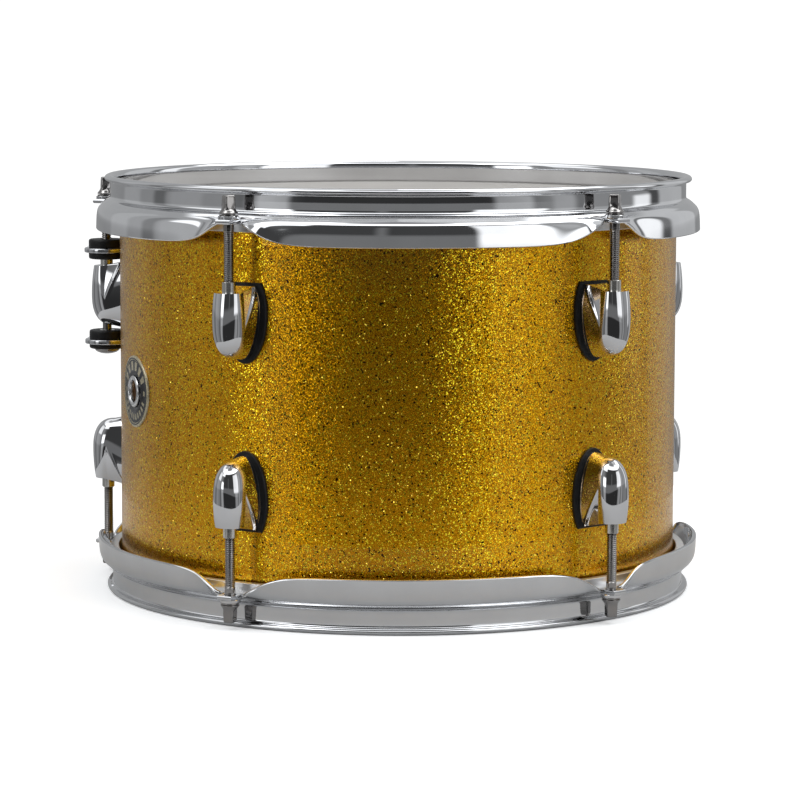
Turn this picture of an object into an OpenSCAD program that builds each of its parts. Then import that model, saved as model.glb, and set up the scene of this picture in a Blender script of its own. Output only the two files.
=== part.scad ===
// Rack tom drum, 12 x 8 inches, five lugs a head, with a suspension mount.
// The drum's axis is Z, the lower rim stands on z = 0 and the badge looks towards -Y and -X.
// Both ends are the same, so each end's pieces are made once, outwards from the middle of the
// shell, and set in place by end().

/* [Shell] */
// Outer diameter of the wooden shell
shell_d = 304.8; // [300:0.1:310]
// Depth of the shell between its bearing edges
shell_depth = 203.2; // [200:0.1:260]
// Thickness of the plies
shell_wall = 6.5; // [5:0.1:8]
// Thickness of the sparkle covering
wrap_t = 0.6; // [0.4:0.1:0.8]

/* [Heads and hoops] */
// Thickness of the drumhead film as a solid
film_t = 0.35; // [0.3:0.05:0.5]
// How far each hoop's lip stands beyond the bearing edge
hoop_rise = 12.25; // [10:0.05:14]
// Thickness of the hoop's sheet steel
hoop_t = 2.3; // [2:0.1:2.4]
// Radius of the hoop's upright wall, outside
hoop_wall_r = 158.1; // [157.8:0.1:158.4]
// How far an ear reaches from the drum's axis
ear_reach_r = 177; // [175:0.1:178]

/* [Lugs and rods] */
// Number of lugs at each head
lug_count = 5; // [5:1:5]
// Angle of the first lug, from the front towards +X
first_lug_angle = -30.7; // [-36:0.1:-24]
// Radius of the circle of the tension rods
rod_circle_r = 168.35; // [168:0.05:168.6]
// Diameter of a rod's thread
rod_d = 5.486; // [5.4:0.002:5.5]
// Length of a rod below its collar
rod_length = 50; // [49:0.5:52]
// Size of the square head, across its flats
key_square = 6.1; // [5.9:0.1:6.4]

/* [Badge] */
// Angle of the badge, from the front towards +X
badge_angle = -66.7; // [-68:0.1:-65]
// Diameter of the badge
badge_d = 38.5; // [36:0.5:40]
// Diameter of the air vent through the badge
vent_d = 12; // [10:0.5:13]

/* [Suspension mount] */
// Diameter of the arm that the clamp takes
arm_d = 12.7; // [12.7:0.1:12.8]
// Distance of the arm's axis from the drum's axis
arm_r = 203; // [202:0.5:205]
// Thickness of the suspension plate
plate_t = 2.6; // [2.4:0.1:2.6]

/* [Hidden] */
$fn = 96;

// The middle of the shell, and heights measured from it towards either head
edge_z = shell_depth / 2;
lip_z = edge_z + hoop_rise;
mid_z = lip_z;
shell_r = shell_d / 2;
wrap_r = shell_r + wrap_t;
crest_r = shell_r - 1.5;
run_gap = 0.05;
slip = 0.02;
through = 400;

// Hoop: flange, skirt and ears
skirt_z = 84.7;
flange_z = 101;
skirt_r = 165.9;
ear_top_z = 97.6;
ear_half = 7;
ear_decay = 20;
flap_r = 163.2;
flap_z = 98;
flap_len = flap_z - skirt_z;
ear_hole_r = 3.2;
ear_arc = 44;

// Rod stack outside the ear
washer_t = 1.7;
washer_r = 5.5;
collar_z = ear_top_z + washer_t + slip;
collar_t = 1.6;
collar_r = 4.5;
bell_top_z = 104.4;
head_top_z = 110.2;

// Lug
lug_back_r = 154.6;
lug_end_z = 60.2;
lug_belly_z = 46;
lug_tip_z = 26.6;
lug_belly_r = 8.4;
lug_end_r = 7.25;
base_end_z = 62.4;
base_wide_z = 48;
base_tip_z = 24.6;
base_end_w = 6.7;
base_wide_w = 9.7;
base_t = 3.2;
pad_end_z = 64.5;
pad_wide_z = 47;
pad_tip_z = 22;
pad_end_w = 10.7;
pad_wide_w = 13.5;
nut_neck_r = 3.5;
nut_neck_z = 65.8;
nut_head_r = 5.1;
nut_head_low_z = 47.6;
nut_head_top_z = 57.6;
pocket_r = 5.5;
lug_screw_z = [30, 42.4];
lug_screw_r = 2;
lug_screw_end_r = 163;
screw_hole_r = 2.3;

// Suspension mount, held at the two lugs behind the drum's left side
mount_lugs = [3, 4];
plate_angle = first_lug_angle + 72 * 3.5 - 360;
plate_span = 34;
web_span = 16.5;
plate_out_r = 182.4;
plate_in_r = 158.6;
tab_r = 12.4;
upper_tab_z = 67.6;
lower_tab_z = 16.1;
grommet_r = 10;
grommet_groove_r = 6.2;
upper_grommet = [63.9, 75.1];
lower_grommet = [13.3, 23.8];
boss_r = 4.3;
dome_low_z = 10.1;
lower_screw_r = 2.5;

// Clamp, in heights from the middle of the shell
clamp_z = [22.5, 63.5];
clamp_half_w = 19;
clamp_bore_r = arm_d / 2 + 0.1;
eye_z = 43;
eye_half_t = 4.8;
eye_r = 11;
bolt_r = 3;
clamp_bolt_r = 2.5;
clamp_bolt_head_r = 4.4;
clamp_bolt_head_t = 2.6;
bolt_span = [12.5, 15.5];
eyebolt_len = 46;
wing_hub_r = 7;
wing_hub_len = 9;
wing_reach = 20;

function lug_angle(i) = first_lug_angle + 360 / lug_count * i;

// An ear is the hoop's skirt bent outwards. The bend is a right angle in the middle of the
// ear and fades away to both sides along the rim.
function bend(s) = abs(s) < ear_half ? 90 : 90 * exp(-(abs(s) - ear_half) / ear_decay);
function edge_height(s) = flap_z - flap_len * cos(bend(s));
function edge_radius(s) = flap_r + (ear_reach_r - flap_r) * sin(bend(s));

// Half the width of a shield outline at height z: widest at wide_z, narrower at its flat end
// and rounded at its tip.
function shield_w(z, end_z, wide_z, tip_z, end_w, wide_w) =
  z > wide_z
    ? wide_w - (wide_w - end_w) * pow((z - wide_z) / (end_z - wide_z), 2)
    : wide_w * pow(max(0, 1 - pow((wide_z - z) / (wide_z - tip_z), 2.1)), 0.62);

// Points from a down to b that crowd towards b, where the outline turns fastest
function crowd(a, b, n) = [for (i = [0 : n]) b + (a - b) * (1 - sin(90 * i / n))];

module shield(end_z, wide_z, tip_z, end_w, wide_w) {
  heights = concat([end_z, (end_z + wide_z) / 2], crowd(wide_z, tip_z, 14));
  right = [for (z = heights) [shield_w(z, end_z, wide_z, tip_z, end_w, wide_w), z]];
  left = [for (i = [len(right) - 2 : -1 : 0]) [-right[i][0], right[i][1]]];
  polygon(concat(right, left));
}

// Puts one end's pieces in place: 1 is the batter head above, -1 the resonant head below.
module end(side) {
  translate([0, 0, mid_z])
    if (side > 0) children();
    else mirror([0, 0, 1]) children();
}

// The rod's own place at lug i, with -Y outwards
module at_rod(i) {
  rotate([0, 0, lug_angle(i)]) translate([0, -rod_circle_r, 0]) children();
}

// A flat outline in X and Z, pushed outwards from radius r_in to r_out along the shell's curve
module on_shell(angle, r_in, r_out) {
  rotate([0, 0, angle])
    intersection() {
      rotate([90, 0, 0]) linear_extrude(r_out + 5) children();
      difference() {
        translate([0, 0, -150]) cylinder(r = r_out, h = 300, $fn = 180);
        translate([0, 0, -151]) cylinder(r = r_in, h = 302, $fn = 180);
      }
    }
}

module radial_hole(angle, z, r, r_in, r_out) {
  rotate([0, 0, angle]) translate([0, -r_in, z]) rotate([90, 0, 0]) cylinder(r = r, h = r_out - r_in, $fn = 32);
}

module each_lug_screw(side) {
  end(side)
    for (i = [0 : lug_count - 1])
      for (z = lug_screw_z) {
        $a = lug_angle(i);
        $z = z;
        children();
      }
}

// ---- Shell ----

module shell() {
  edge_drop = 5;
  color("burlywood")
    difference() {
      rotate_extrude($fn = 180)
        polygon([
          [shell_r - shell_wall, mid_z - edge_z + edge_drop],
          [crest_r, mid_z - edge_z],
          [shell_r, mid_z - edge_z + 1.5],
          [shell_r, mid_z + edge_z - 1.5],
          [crest_r, mid_z + edge_z],
          [shell_r - shell_wall, mid_z + edge_z - edge_drop]
        ]);
      for (side = [-1, 1])
        each_lug_screw(side) radial_hole($a, $z, screw_hole_r, 140, 156);
      radial_hole(badge_angle, mid_z, vent_d / 2 + 1.2, 140, 156);
    }
}

module sparkle_wrap() {
  wrap_edge = 3.4;
  color("goldenrod")
    difference() {
      translate([0, 0, mid_z - edge_z + wrap_edge])
        cylinder(r = wrap_r, h = shell_depth - 2 * wrap_edge, $fn = 180);
      translate([0, 0, mid_z - edge_z])
        cylinder(r = shell_r, h = shell_depth, $fn = 180);
      for (side = [-1, 1])
        each_lug_screw(side) radial_hole($a, $z, screw_hole_r, 150, 156);
      radial_hole(badge_angle, mid_z, vent_d / 2 + 1.2, 150, 156);
    }
}

// ---- Badge and vent ----

module badge() {
  badge_t = 1.1;
  color("ivory")
    difference() {
      translate([0, 0, mid_z]) on_shell(badge_angle, wrap_r, wrap_r + badge_t) circle(d = badge_d);
      radial_hole(badge_angle, mid_z, vent_d / 2 + 1, 150, 160);
    }
}

module vent_eyelet() {
  flange_r = vent_d / 2 + 2.5;
  flange_back = wrap_r + 1.2;
  color("silver")
    rotate([0, 0, badge_angle])
      translate([0, 0, mid_z])
        rotate([90, 0, 0])
          difference() {
            union() {
              translate([0, 0, 144]) cylinder(r = vent_d / 2 + 0.9, h = flange_back - 143.5);
              translate([0, 0, flange_back]) cylinder(r1 = flange_r, r2 = flange_r - 0.8, h = 0.9);
            }
            translate([0, 0, 140]) cylinder(d = vent_d, h = 20);
          }
}

module vent_eyelet_ring() {
  color("silver")
    rotate([0, 0, badge_angle])
      translate([0, 0, mid_z])
        rotate([90, 0, 0])
          translate([0, 0, 144.4])
            difference() {
              cylinder(r = vent_d / 2 + 4.5, h = 1);
              translate([0, 0, -1]) cylinder(r = vent_d / 2 + 0.92, h = 3);
            }
}

// ---- Heads ----

module film(side) {
  seat_r = 155;
  seat_z = 97.5;
  color("gainsboro")
    end(side)
      rotate_extrude($fn = 180)
        polygon([
          [0, edge_z + slip],
          [crest_r, edge_z + slip],
          [seat_r, seat_z],
          [seat_r + 1.8, seat_z],
          [seat_r + 1.8, seat_z + film_t],
          [seat_r + film_t, seat_z + film_t],
          [crest_r + film_t / 2, edge_z + film_t + slip],
          [0, edge_z + film_t + slip]
        ]);
}

module flesh_hoop(side) {
  inner_r = 154.8;
  outer_r = 159.2;
  low_z = 90.6;
  top_z = 97.45;
  color("lightgray")
    end(side)
      rotate_extrude($fn = 180)
        polygon([
          [inner_r, low_z],
          [outer_r, low_z],
          [outer_r, top_z - 0.5],
          [outer_r - 0.6, top_z],
          [inner_r, top_z]
        ]);
}

// ---- Hoops ----

module hoop_profile() {
  lip_r = 161.2;
  lip_low = lip_z - 3.1;
  wall_in = hoop_wall_r - hoop_t;
  polygon([
    [wall_in, flange_z - 1.4],
    [wall_in, lip_z - 1.9],
    [wall_in + 0.8, lip_z - 0.6],
    [wall_in + 2.6, lip_z],
    [wall_in + 4, lip_z],
    [lip_r - 0.5, lip_z - 0.7],
    [lip_r, lip_z - 1.7],
    [lip_r - 0.5, lip_low],
    [hoop_wall_r, lip_low],
    [hoop_wall_r, flange_z + 0.3],
    [159.7, 100.6],
    [161.3, 99.5],
    [162.6, 98.4],
    [164.4, 95.1],
    [165.2, 91.9],
    [skirt_r, skirt_z],
    [skirt_r - hoop_t, skirt_z],
    [162.9, 91.9],
    [162.2, 94.6],
    [160.9, 96.6],
    [159.5, 98],
    [157.6, 98.9]
  ]);
}

// The part of the skirt that each ear's bend lifts away, seen from outside the drum
module ear_arch() {
  steps = 22;
  edge = [for (i = [-steps : steps]) let (s = ear_arc * i / steps)
    [s, min(edge_height(s), ear_top_z - hoop_t)]];
  polygon(concat([[-ear_arc, skirt_z - 3]], edge, [[ear_arc, skirt_z - 3]]));
}

// The flat of one ear, seen from above, with its middle on -Y
module ear_outline() {
  steps = 8;
  flat_half = 17;
  tip = [for (i = [-steps : steps]) let (s = flat_half * i / steps) [s, -edge_radius(s)]];
  polygon(concat([[-flat_half, -160.6]], tip, [[flat_half, -160.6]]));
}

module hoop(side) {
  color("silver")
    end(side)
      difference() {
        union() {
          difference() {
            rotate_extrude($fn = 180) hoop_profile();
            for (i = [0 : lug_count - 1])
              rotate([0, 0, lug_angle(i)])
                translate([0, -160.9, 0]) rotate([90, 0, 0]) linear_extrude(20) ear_arch();
          }
          for (i = [0 : lug_count - 1])
            rotate([0, 0, lug_angle(i)])
              translate([0, 0, ear_top_z - hoop_t]) linear_extrude(hoop_t) ear_outline();
        }
        for (i = [0 : lug_count - 1])
          at_rod(i) translate([0, 0, 80]) cylinder(r = ear_hole_r, h = 30);
      }
}

module rod_washers(side) {
  color("silver")
    end(side)
      for (i = [0 : lug_count - 1])
        at_rod(i)
          translate([0, 0, ear_top_z])
            difference() {
              cylinder(r = washer_r, h = washer_t);
              translate([0, 0, -1]) cylinder(r = rod_d / 2 + 0.2, h = washer_t + 2);
            }
}

// ---- Tension rods ----

module rod_head() {
  intersection() {
    translate([-key_square / 2, -key_square / 2, collar_z])
      cube([key_square, key_square, head_top_z - collar_z]);
    translate([0, 0, collar_z])
      rotate_extrude()
        polygon([
          [0, 0],
          [key_square * 0.7, 0],
          [key_square * 0.7, head_top_z - collar_z - 0.9],
          [key_square * 0.7 - 0.9, head_top_z - collar_z],
          [0, head_top_z - collar_z]
        ]);
  }
}

module tension_rod(side, i) {
  tip_z = collar_z - rod_length;
  bell_steps = 6;
  bell_r = key_square / 2;
  bell = [for (k = [0 : bell_steps]) let (u = k / bell_steps)
    [bell_r + (collar_r - 0.3 - bell_r) * pow(1 - u, 2), collar_z + collar_t + u * (bell_top_z - collar_z - collar_t)]];
  color("silver")
    end(side)
      at_rod(i)
        union() {
          translate([0, 0, tip_z]) cylinder(d1 = rod_d - 1.6, d2 = rod_d, h = 1.2);
          translate([0, 0, tip_z + 1.2]) cylinder(d = rod_d, h = rod_length - 1.2);
          translate([0, 0, collar_z]) cylinder(r = collar_r, h = collar_t);
          rotate_extrude() polygon(concat([[0, collar_z + collar_t]], bell, [[0, bell_top_z]]));
          rod_head();
        }
}

// ---- Lugs ----

function bullet_r(z) =
  z > lug_belly_z
    ? lug_belly_r - (lug_belly_r - lug_end_r) * pow((z - lug_belly_z) / (lug_end_z - lug_belly_z), 2)
    : lug_belly_r * pow(max(0, 1 - pow((lug_belly_z - z) / (lug_belly_z - lug_tip_z), 2.2)), 0.55);

module bullet() {
  heights = concat([lug_end_z, (lug_end_z + lug_belly_z) / 2], crowd(lug_belly_z, lug_tip_z, 12));
  rotate_extrude() polygon(concat([[0, lug_end_z]], [for (z = heights) [bullet_r(z), z]]));
}

module lug_solid(i) {
  web_in = 5.2;
  on_shell(lug_angle(i), lug_back_r, lug_back_r + base_t)
    shield(base_end_z, base_wide_z, base_tip_z, base_end_w, base_wide_w);
  on_shell(lug_angle(i), lug_back_r + base_t - 0.1, rod_circle_r)
    shield(lug_end_z, lug_belly_z, lug_tip_z + 2, web_in, web_in + 0.6);
  at_rod(i) bullet();
}

// The swivel nut drops in from the back of the casing.
module lug_pocket(i) {
  rotate([0, 0, lug_angle(i)]) {
    translate([-pocket_r, -rod_circle_r, nut_head_low_z - 0.3])
      cube([2 * pocket_r, 20, nut_head_top_z - nut_head_low_z + 0.6]);
    translate([-nut_neck_r - 0.3, -rod_circle_r, nut_head_top_z])
      cube([2 * nut_neck_r + 0.6, 20, 10]);
  }
  at_rod(i) {
    translate([0, 0, nut_head_low_z - 0.3]) cylinder(r = pocket_r, h = nut_head_top_z - nut_head_low_z + 0.6);
    translate([0, 0, 36]) cylinder(r = 3.3, h = 30);
    translate([0, 0, nut_head_top_z]) cylinder(r = nut_neck_r + 0.3, h = 10);
  }
}

module lug(side, i) {
  holds_mount = side > 0 && (i == mount_lugs[0] || i == mount_lugs[1]);
  color("silver")
    end(side)
      difference() {
        union() {
          lug_solid(i);
          if (holds_mount)
            at_rod(i) translate([0, 0, lower_grommet[1]]) cylinder(r = boss_r, h = 8);
        }
        lug_pocket(i);
        for (z = lug_screw_z)
          radial_hole(lug_angle(i), z, lug_screw_r + slip, 150, lug_screw_end_r + 0.5);
        if (holds_mount)
          at_rod(i) translate([0, 0, 20]) cylinder(r = lower_screw_r + slip, h = 14.5);
      }
}

module lug_gaskets(side) {
  color("dimgray")
    end(side)
      for (i = [0 : lug_count - 1])
        difference() {
          on_shell(lug_angle(i), wrap_r, lug_back_r)
            shield(pad_end_z, pad_wide_z, pad_tip_z, pad_end_w, pad_wide_w);
          for (z = lug_screw_z)
            radial_hole(lug_angle(i), z, screw_hole_r, 150, 160);
        }
}

module swivel_nuts(side) {
  color("goldenrod")
    end(side)
      for (i = [0 : lug_count - 1])
        at_rod(i)
          difference() {
            union() {
              translate([0, 0, nut_head_low_z])
                cylinder(r = nut_head_r, h = nut_head_top_z - nut_head_low_z);
              translate([0, 0, nut_head_top_z]) cylinder(r = nut_neck_r, h = nut_neck_z - nut_head_top_z);
            }
            translate([0, 0, 40]) cylinder(r = rod_d / 2 + run_gap, h = 30);
          }
}

// A nylon block behind each nut keeps it from rattling.
module nut_retainers(side) {
  clear = 0.2;
  block_in = lug_back_r + 0.6;
  color("white")
    end(side)
      for (i = [0 : lug_count - 1])
        difference() {
          rotate([0, 0, lug_angle(i)])
            translate([-pocket_r + clear, -rod_circle_r + 3.8, nut_head_low_z])
              cube([2 * (pocket_r - clear), rod_circle_r - 3.8 - block_in, nut_head_top_z - nut_head_low_z]);
          at_rod(i) translate([0, 0, 40]) cylinder(r = nut_head_r + clear / 2, h = 30);
        }
}

module lug_screws(side) {
  head_in = shell_r - shell_wall - 1.1;
  color("silver")
    each_lug_screw(side) {
      radial_hole($a, $z, lug_screw_r, head_in, lug_screw_end_r);
      radial_hole($a, $z, 3.7, head_in - 2.4, head_in);
    }
}

module lug_washers(side) {
  flat_in = shell_r - shell_wall - 1.1;
  color("silver")
    each_lug_screw(side)
      difference() {
        radial_hole($a, $z, 5, flat_in, flat_in + 1);
        radial_hole($a, $z, lug_screw_r + 0.1, flat_in - 1, flat_in + 2);
      }
}

// ---- Suspension mount ----

// A flat stretch of ring about the drum's axis, from the middle of the mount to span each side
module ring_sector(r_in, r_out, span) {
  steps = 6;
  rim = [for (k = [-steps : steps]) let (a = plate_angle - 90 + span * k / steps) [cos(a), sin(a)] * through];
  intersection() {
    difference() {
      circle(r = r_out, $fn = 180);
      circle(r = r_in, $fn = 180);
    }
    polygon(concat([[0, 0]], rim));
  }
}

module tab_layer(z) {
  translate([0, 0, z])
    linear_extrude(plate_t)
      difference() {
        union() {
          ring_sector(plate_in_r, plate_out_r, plate_span);
          for (i = mount_lugs) at_rod(i) circle(r = tab_r);
        }
        for (i = mount_lugs) at_rod(i) circle(r = grommet_groove_r + 0.1);
      }
}

module plate_web() {
  translate([0, 0, lower_tab_z + plate_t])
    linear_extrude(upper_tab_z - lower_tab_z - plate_t)
      ring_sector(plate_out_r - plate_t, plate_out_r, web_span);
}

module each_clamp_bolt() {
  for (x = [-1, 1])
    for (z = [-1, 1])
      translate([x * bolt_span[0], 0, eye_z + z * bolt_span[1]]) children();
}

module suspension_plate() {
  color("silver")
    end(1)
      difference() {
        union() {
          tab_layer(upper_tab_z);
          tab_layer(lower_tab_z);
          plate_web();
        }
        rotate([0, 0, plate_angle])
          each_clamp_bolt() rotate([90, 0, 0]) cylinder(r = clamp_bolt_r + 0.3, h = 190);
      }
}

module grommets(limits, tab_z, hole_r) {
  lip = 0.9;
  color("dimgray")
    end(1)
      for (i = mount_lugs)
        at_rod(i)
          rotate_extrude()
            polygon([
              [hole_r, limits[0]],
              [grommet_r - lip, limits[0]],
              [grommet_r, limits[0] + lip],
              [grommet_r, tab_z],
              [grommet_groove_r, tab_z],
              [grommet_groove_r, tab_z + plate_t],
              [grommet_r, tab_z + plate_t],
              [grommet_r, limits[1] - lip],
              [grommet_r - lip, limits[1]],
              [hole_r, limits[1]]
            ]);
}

module lower_sleeves() {
  color("silver")
    end(1)
      for (i = mount_lugs)
        at_rod(i)
          translate([0, 0, lower_grommet[0]])
            difference() {
              cylinder(r = boss_r, h = lower_grommet[1] - lower_grommet[0]);
              translate([0, 0, -1]) cylinder(r = lower_screw_r + 0.3, h = 20);
            }
}

module lower_screws() {
  dome_r = 7;
  dome_h = lower_grommet[0] - dome_low_z;
  ball_r = (dome_r * dome_r + dome_h * dome_h) / (2 * dome_h);
  color("silver")
    end(1)
      for (i = mount_lugs)
        at_rod(i)
          difference() {
            union() {
              translate([0, 0, dome_low_z + 1]) cylinder(r = lower_screw_r, h = 23);
              intersection() {
                translate([0, 0, dome_low_z + ball_r]) sphere(r = ball_r);
                translate([0, 0, dome_low_z - 1]) cylinder(r = dome_r, h = dome_h + 1);
              }
            }
            translate([0, 0, dome_low_z - 1]) cylinder(r = 2.3, h = 3, $fn = 6);
          }
}

// The clamp's parts are made with the arm's axis on the origin, X along the rim and -Y outwards.
module at_clamp() {
  end(1) rotate([0, 0, plate_angle]) translate([0, -arm_r, 0]) children();
}

clamp_back = arm_r - plate_out_r;
clamp_front = 15.5;

module clamp_body() {
  round_r = 8;
  h = clamp_z[1] - clamp_z[0];
  color("silver")
    at_clamp()
      difference() {
        translate([0, 0, clamp_z[0]])
          linear_extrude(h)
            union() {
              translate([-clamp_half_w, -clamp_front + round_r])
                square([2 * clamp_half_w, clamp_back - 1.2 + clamp_front - round_r]);
              translate([-clamp_half_w + round_r, -clamp_front])
                square([2 * (clamp_half_w - round_r), round_r]);
              for (x = [-1, 1])
                translate([x * (clamp_half_w - round_r), -clamp_front + round_r]) circle(r = round_r);
            }
        translate([0, 0, clamp_z[0] - 1]) cylinder(r = clamp_bore_r, h = h + 2);
        translate([-eye_r - 0.6, -eye_r - 0.6, eye_z - eye_half_t - 0.6])
          cube([60, 2 * eye_r + 1.2, 2 * eye_half_t + 1.2]);
        translate([-60, 0, eye_z]) rotate([0, 90, 0]) cylinder(r = bolt_r + 0.3, h = 60);
        each_clamp_bolt() translate([0, clamp_back + 5, 0]) rotate([90, 0, 0]) cylinder(r = clamp_bolt_r + slip, h = 15.5);
      }
}

// The heads lie inside the plate's curve, so their faces clear the plate where it curves away most
module clamp_bolts() {
  plate_face = sqrt(pow(plate_out_r - plate_t, 2) - pow(bolt_span[0] + clamp_bolt_head_r, 2));
  head_back = arm_r - plate_face + slip;
  shank = 13;
  key_r = 2.2;
  key_depth = 1.4;
  color("silver")
    at_clamp()
      each_clamp_bolt() {
        translate([0, head_back, 0]) rotate([90, 0, 0]) cylinder(r = clamp_bolt_r, h = shank);
        translate([0, head_back + clamp_bolt_head_t, 0])
          rotate([90, 0, 0])
            difference() {
              cylinder(r = clamp_bolt_head_r, h = clamp_bolt_head_t);
              translate([0, 0, -1]) cylinder(r = key_r, h = key_depth + 1, $fn = 6);
            }
      }
}

module clamp_eyebolt() {
  color("silver")
    at_clamp()
      translate([0, 0, eye_z])
        difference() {
          union() {
            translate([0, 0, -eye_half_t]) cylinder(r = eye_r, h = 2 * eye_half_t);
            translate([-eyebolt_len, 0, 0])
              rotate([0, 90, 0]) cylinder(r = bolt_r, h = eyebolt_len - clamp_bore_r - 2);
          }
          translate([0, 0, -10]) cylinder(r = clamp_bore_r + 0.2, h = 20);
        }
}

module clamp_washer() {
  color("silver")
    at_clamp()
      translate([-clamp_half_w - 1.5, 0, eye_z])
        rotate([0, 90, 0])
          difference() {
            cylinder(r = 7.5, h = 1.5);
            translate([0, 0, -1]) cylinder(r = bolt_r + 0.2, h = 4);
          }
}

module clamp_wing_nut() {
  base_x = clamp_half_w + 1.5 + slip;
  color("silver")
    at_clamp()
      translate([-base_x, 0, eye_z])
        rotate([0, -90, 0])
          difference() {
            union() {
              cylinder(r1 = wing_hub_r, r2 = wing_hub_r - 1.2, h = wing_hub_len);
              for (turn = [0, 180])
                rotate([90, 0, turn])
                  translate([0, 0, -1.7])
                    linear_extrude(3.4)
                      polygon([
                        [wing_hub_r - 2, 0.8],
                        [wing_reach - 4, 5.5],
                        [wing_reach, 11],
                        [wing_reach - 1.5, 15],
                        [wing_reach - 6, 15.6],
                        [wing_hub_r + 0.5, 9],
                        [wing_hub_r - 2, wing_hub_len]
                      ]);
            }
            translate([0, 0, -1]) cylinder(r = bolt_r + run_gap, h = 30);
          }
}

shell();
sparkle_wrap();
badge();
vent_eyelet();
vent_eyelet_ring();
film(1);  // batter_film
flesh_hoop(1);  // batter_flesh_hoop
hoop(1);  // batter_hoop
rod_washers(1);  // batter_rod_washers
film(-1);  // resonant_film
flesh_hoop(-1);  // resonant_flesh_hoop
hoop(-1);  // resonant_hoop
rod_washers(-1);  // resonant_rod_washers
tension_rod(1, 0);  // batter_rod_1
tension_rod(1, 1);  // batter_rod_2
tension_rod(1, 2);  // batter_rod_3
tension_rod(1, 3);  // batter_rod_4
tension_rod(1, 4);  // batter_rod_5
tension_rod(-1, 0);  // resonant_rod_1
tension_rod(-1, 1);  // resonant_rod_2
tension_rod(-1, 2);  // resonant_rod_3
tension_rod(-1, 3);  // resonant_rod_4
tension_rod(-1, 4);  // resonant_rod_5
lug(1, 0);  // batter_lug_1
lug(1, 1);  // batter_lug_2
lug(1, 2);  // batter_lug_3
lug(1, 3);  // batter_lug_4
lug(1, 4);  // batter_lug_5
lug(-1, 0);  // resonant_lug_1
lug(-1, 1);  // resonant_lug_2
lug(-1, 2);  // resonant_lug_3
lug(-1, 3);  // resonant_lug_4
lug(-1, 4);  // resonant_lug_5
lug_gaskets(1);  // batter_lug_gaskets
lug_gaskets(-1);  // resonant_lug_gaskets
swivel_nuts(1);  // batter_swivel_nuts
swivel_nuts(-1);  // resonant_swivel_nuts
nut_retainers(1);  // batter_nut_retainers
nut_retainers(-1);  // resonant_nut_retainers
lug_screws(1);  // batter_lug_screws
lug_screws(-1);  // resonant_lug_screws
lug_washers(1);  // batter_lug_washers
lug_washers(-1);  // resonant_lug_washers
suspension_plate();
grommets(upper_grommet, upper_tab_z, nut_neck_r + 0.25);  // upper_grommets
grommets(lower_grommet, lower_tab_z, boss_r + 0.05);  // lower_grommets
lower_sleeves();
lower_screws();
clamp_body();
clamp_bolts();
clamp_eyebolt();
clamp_washer();
clamp_wing_nut();
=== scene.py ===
import math

import bmesh
import bpy
from mathutils import Matrix, Vector


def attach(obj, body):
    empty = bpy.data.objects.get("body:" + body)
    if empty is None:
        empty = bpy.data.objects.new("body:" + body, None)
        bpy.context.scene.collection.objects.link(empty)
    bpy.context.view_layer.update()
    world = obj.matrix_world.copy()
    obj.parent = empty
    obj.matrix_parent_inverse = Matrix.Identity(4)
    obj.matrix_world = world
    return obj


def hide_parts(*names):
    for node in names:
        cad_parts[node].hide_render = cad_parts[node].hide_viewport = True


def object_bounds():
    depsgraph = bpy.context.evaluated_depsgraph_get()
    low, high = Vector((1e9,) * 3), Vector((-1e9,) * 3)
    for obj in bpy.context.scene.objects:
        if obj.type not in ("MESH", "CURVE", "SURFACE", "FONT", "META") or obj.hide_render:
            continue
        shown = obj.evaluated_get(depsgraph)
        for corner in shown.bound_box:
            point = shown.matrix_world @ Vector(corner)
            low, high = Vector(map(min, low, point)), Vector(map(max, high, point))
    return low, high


# Looks of the rack tom drum. Shapes are written in millimetres; heights are measured outwards
# from the middle of the shell, and each end's pieces are mirrored into place.

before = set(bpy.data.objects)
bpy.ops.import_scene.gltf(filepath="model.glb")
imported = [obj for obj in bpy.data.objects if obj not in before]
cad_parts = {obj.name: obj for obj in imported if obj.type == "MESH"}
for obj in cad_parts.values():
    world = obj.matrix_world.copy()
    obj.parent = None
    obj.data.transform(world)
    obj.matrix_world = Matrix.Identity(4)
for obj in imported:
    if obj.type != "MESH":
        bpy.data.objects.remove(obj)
cad_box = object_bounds()

MM = 0.001
MID = (cad_box[0].z + cad_box[1].z) / 2 / MM
ENDS = (("batter", 1), ("resonant", -1))
LUGS = 5
ROD_R = 168.35
# Angles round the shell are in degrees, from the front towards +X
FIRST_LUG = -30.7
BADGE_ANGLE = -66.7
# The lugs that carry the suspension plate
MOUNT_LUGS = (3, 4)
# An edge that bends by more than this many degrees stays sharp
SHARP = 38


def lug_angle(i):
    return FIRST_LUG + 360 / LUGS * i


def lerp(a, b, t):
    return a + (b - a) * t


def place(points, angle, side):
    """Points (across, radius, height) at an angle of the shell, as millimetres of the frame."""
    a = math.radians(angle)
    c, s = math.cos(a), math.sin(a)
    return [(x * c + r * s, x * s - r * c, MID + side * z) for x, r, z in points]


def rod_point(i, side, height):
    """A point on the axis of rod i of an end."""
    return place([(0, ROD_R, height)], lug_angle(i), side)[0]


# ---------------------------------------------------------------- meshes


def grid_faces(rows, cols, wrap_rows, wrap_cols, start=0):
    """Faces over a grid of vertices that is stored row by row, closed round where it wraps."""
    faces = []
    for i in range(rows if wrap_rows else rows - 1):
        a, b = start + i * cols, start + (i + 1) % rows * cols
        for j in range(cols if wrap_cols else cols - 1):
            k = (j + 1) % cols
            faces.append((a + j, a + k, b + k, b + j))
    return faces


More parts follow.
